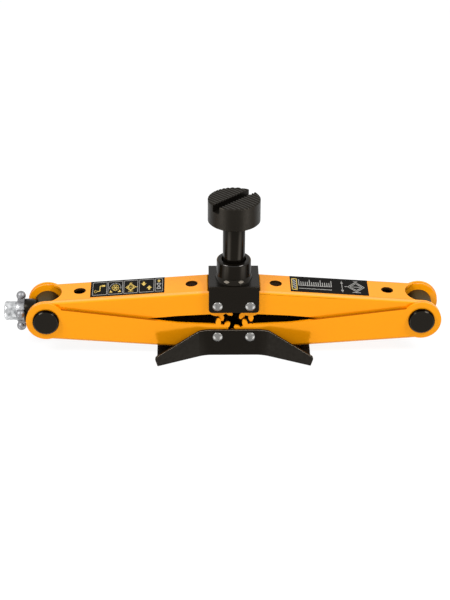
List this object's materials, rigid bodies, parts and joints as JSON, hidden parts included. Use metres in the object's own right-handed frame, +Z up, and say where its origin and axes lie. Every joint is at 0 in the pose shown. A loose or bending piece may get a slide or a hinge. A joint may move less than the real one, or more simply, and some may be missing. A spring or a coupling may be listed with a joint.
{
  "type": "scissor jack",
  "caption": "Scissor jack: channel arms with gear-toothed ends, a bow-tie base, a cross screw with a lugged drive end, and a slotted saddle on a swivelling post.",
  "frame": {"origin": "middle of the base plate's underside", "axes": "+X along the screw, away from the drive end; +Y across the jack; +Z up, the way it lifts"},
  "size_m": [0.4832, 0.1112, 0.1793],
  "materials": {
    "orange_paint": "satin",
    "black_paint": "satin",
    "black_enamel": "gloss",
    "zinc": "satin",
    "steel": "satin"
  },
  "bodies": {
    "base": {"base_plate": "black_paint", "base_rivet_left": "zinc", "base_rivet_right": "zinc"},
    "lower_arm_left": {"lower_arm_left": "orange_paint"},
    "lower_arm_right": {"lower_arm_right": "orange_paint"},
    "drive_end": {"trunnion_drive": "black_paint", "thrust_race_inner": "steel", "bearing_cover": "black_paint"},
    "nut_end": {"trunnion_nut": "black_paint"},
    "upper_arm_left": {"upper_arm_left": "orange_paint"},
    "upper_arm_right": {"upper_arm_right": "orange_paint"},
    "bracket": {"top_bracket": "black_paint", "bracket_rivet_left": "zinc", "bracket_rivet_right": "zinc", "saddle_collar": "black_paint"},
    "saddle": {"saddle_post": "black_enamel", "saddle_head": "black_enamel"},
    "screw": {"lead_screw": "steel", "thrust_race_outer": "steel", "drive_coupling": "zinc"},
    "bearing_cage": {"thrust_cage": "steel", "thrust_balls": "steel"}
  },
  "joints": [
    {"name": "lift", "type": "hinge", "parent": "base", "child": "lower_arm_left", "pos_m": [-0.018, 0, 0.0236], "axis": [0, 1, 0], "range_deg": [0, 50]},
    {"name": "lower_right_pivot", "type": "hinge", "parent": "base", "child": "lower_arm_right", "pos_m": [0.018, 0, 0.0236], "axis": [0, 1, 0], "range_deg": [-50, 0]},
    {"name": "drive_trunnion_pivot", "type": "hinge", "parent": "lower_arm_left", "child": "drive_end", "pos_m": [-0.20713, 0, 0.04181], "axis": [0, 1, 0], "range_deg": [-50, 0]},
    {"name": "nut_trunnion_pivot", "type": "hinge", "parent": "lower_arm_right", "child": "nut_end", "pos_m": [0.20713, 0, 0.04181], "axis": [0, 1, 0], "range_deg": [0, 50]},
    {"name": "upper_left_pivot", "type": "hinge", "parent": "drive_end", "child": "upper_arm_left", "pos_m": [-0.20713, 0, 0.04181], "axis": [0, 1, 0], "range_deg": [-50, 0]},
    {"name": "bracket_left_pivot", "type": "hinge", "parent": "upper_arm_left", "child": "bracket", "pos_m": [-0.018, 0, 0.06002], "axis": [0, 1, 0], "range_deg": [0, 50]},
    {"name": "bracket_right_pivot", "type": "hinge", "parent": "bracket", "child": "upper_arm_right", "pos_m": [0.018, 0, 0.06002], "axis": [0, 1, 0], "range_deg": [0, 50]},
    {"name": "screw_spin", "type": "hinge", "parent": "drive_end", "child": "screw", "pos_m": [-0.20713, 0, 0.04181], "axis": [1, 0, 0], "continuous": true},
    {"name": "cage_spin", "type": "hinge", "parent": "drive_end", "child": "bearing_cage", "pos_m": [-0.20713, 0, 0.04181], "axis": [1, 0, 0], "continuous": true},
    {"name": "saddle_swivel", "type": "hinge", "parent": "bracket", "child": "saddle", "pos_m": [0, 0, 0.08412], "axis": [0, 0, 1], "continuous": true}
  ],
  "couplings": [
    {"joint": "lower_right_pivot", "follows": "lift", "ratio": -1},
    {"joint": "drive_trunnion_pivot", "follows": "lift", "ratio": -1},
    {"joint": "nut_trunnion_pivot", "follows": "lift", "ratio": 1},
    {"joint": "upper_left_pivot", "follows": "lift", "ratio": -1},
    {"joint": "bracket_left_pivot", "follows": "lift", "ratio": 1},
    {"joint": "bracket_right_pivot", "follows": "lift", "ratio": 1},
    {"joint": "cage_spin", "follows": "screw_spin", "ratio": 0.5}
  ]
}
